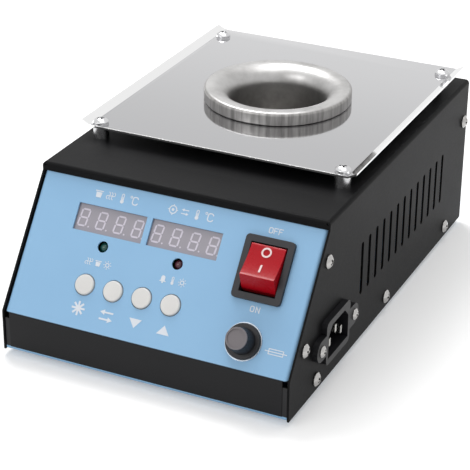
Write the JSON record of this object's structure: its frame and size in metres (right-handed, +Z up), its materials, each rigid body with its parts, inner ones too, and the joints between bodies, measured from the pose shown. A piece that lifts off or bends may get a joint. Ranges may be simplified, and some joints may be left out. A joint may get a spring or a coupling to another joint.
{
  "type": "bench soldering pot",
  "caption": "Bench soldering pot: black sheet-metal case with a sloping blue control panel, and a round crucible whose rim rests on a raised steel heat shield.",
  "frame": {"origin": "on the bench, in the plane of the case's middle, half-way between the fuse cap's front and the cover's back edge", "axes": "+Z up, front panel towards -Y, mains inlet on the +X side"},
  "size_m": [0.1593, 0.243, 0.1],
  "materials": {
    "blue_paint": "fine texture",
    "black_paint": "satin",
    "black_film": "satin",
    "black_steel": "black oxide",
    "rubber": "matt",
    "bright_steel": "polished",
    "zinc": "zinc plated",
    "pot_metal": "turned and heat-tinted",
    "heater_metal": "heat-dulled",
    "wool": "fibrous",
    "board": "solder mask",
    "brass": "plated",
    "display_face": "smooth",
    "segments": "translucent",
    "green_lens": "clear",
    "red_lens": "clear",
    "button_white": "satin",
    "black_plastic": "moulded",
    "red_plastic": "moulded",
    "white_ink": "printed",
    "pin_metal": "nickel plated",
    "fuse_glass": "glass and nickel caps",
    "iron_core": "varnished",
    "relay_blue": "moulded",
    "sink_alu": "anodised",
    "green_plastic": "moulded",
    "wire_sleeve": "woven glass sleeve"
  },
  "bodies": {
    "case": {"chassis": "blue_paint", "front_strip": "black_film", "cover": "black_paint", "cover_screws": "black_steel", "feet": "rubber", "foot_screws": "zinc", "heat_shield": "bright_steel", "spacers": "bright_steel", "shield_washers": "bright_steel", "shield_screws": "bright_steel", "shield_nuts": "zinc", "crucible": "pot_metal", "heater_band": "heater_metal", "heater_clamp_screw": "zinc", "insulation": "wool", "pot_can": "zinc", "pot_bracket": "zinc", "bracket_screws": "zinc", "thermocouple": "heater_metal", "control_board": "board", "board_standoffs": "brass", "board_screws": "zinc", "tact_switches": "black_plastic", "display_left": "display_face", "display_right": "display_face", "digits_left": "segments", "digits_right": "segments", "lamp_green": "green_lens", "lamp_red": "red_lens", "switch_housing": "black_plastic", "switch_tabs": "brass", "fuse_washer": "zinc", "fuse_holder": "black_plastic", "fuse_nut": "black_plastic", "fuse_tabs": "brass", "inlet": "black_plastic", "inlet_pins": "pin_metal", "inlet_screws": "black_steel", "inlet_nuts": "zinc", "power_board": "board", "board_pillars": "zinc", "transformer": "iron_core", "relay": "relay_blue", "heat_sink": "sink_alu", "terminal_block": "green_plastic", "mains_wires": "wire_sleeve", "panel_print": "white_ink"},
    "set_button": {"button_set": "button_white"},
    "shift_button": {"button_shift": "button_white"},
    "down_button": {"button_down": "button_white"},
    "up_button": {"button_up_key": "button_white"},
    "rocker_key": {"rocker": "red_plastic", "rocker_marks": "white_ink"},
    "fuse": {"fuse_link": "fuse_glass"},
    "fuse_top": {"fuse_cap": "black_plastic"}
  },
  "joints": [
    {"name": "set_press", "type": "slide", "parent": "case", "child": "set_button", "axis": [0, 0.8039, -0.5948], "range_m": [0, 0.0008], "stiffness_N_per_m": 1000},
    {"name": "shift_press", "type": "slide", "parent": "case", "child": "shift_button", "axis": [0, 0.8039, -0.5948], "range_m": [0, 0.0008], "stiffness_N_per_m": 1000},
    {"name": "down_press", "type": "slide", "parent": "case", "child": "down_button", "axis": [0, 0.8039, -0.5948], "range_m": [0, 0.0008], "stiffness_N_per_m": 1000},
    {"name": "up_press", "type": "slide", "parent": "case", "child": "up_button", "axis": [0, 0.8039, -0.5948], "range_m": [0, 0.0008], "stiffness_N_per_m": 1000},
    {"name": "rocker_tilt", "type": "hinge", "parent": "case", "child": "rocker_key", "pos_m": [0.0497, -0.08589, 0.05894], "axis": [1, 0, 0], "range_deg": [0, 36]},
    {"name": "fuse_pull", "type": "slide", "parent": "case", "child": "fuse", "axis": [0, -0.8039, 0.5948], "range_m": [0, 0.026]},
    {"name": "fuse_cap_turn", "type": "hinge", "parent": "fuse", "child": "fuse_top", "pos_m": [0.049, -0.11419, 0.03734], "axis": [0, -0.8039, 0.5948], "range_deg": [0, 90]}
  ]
}
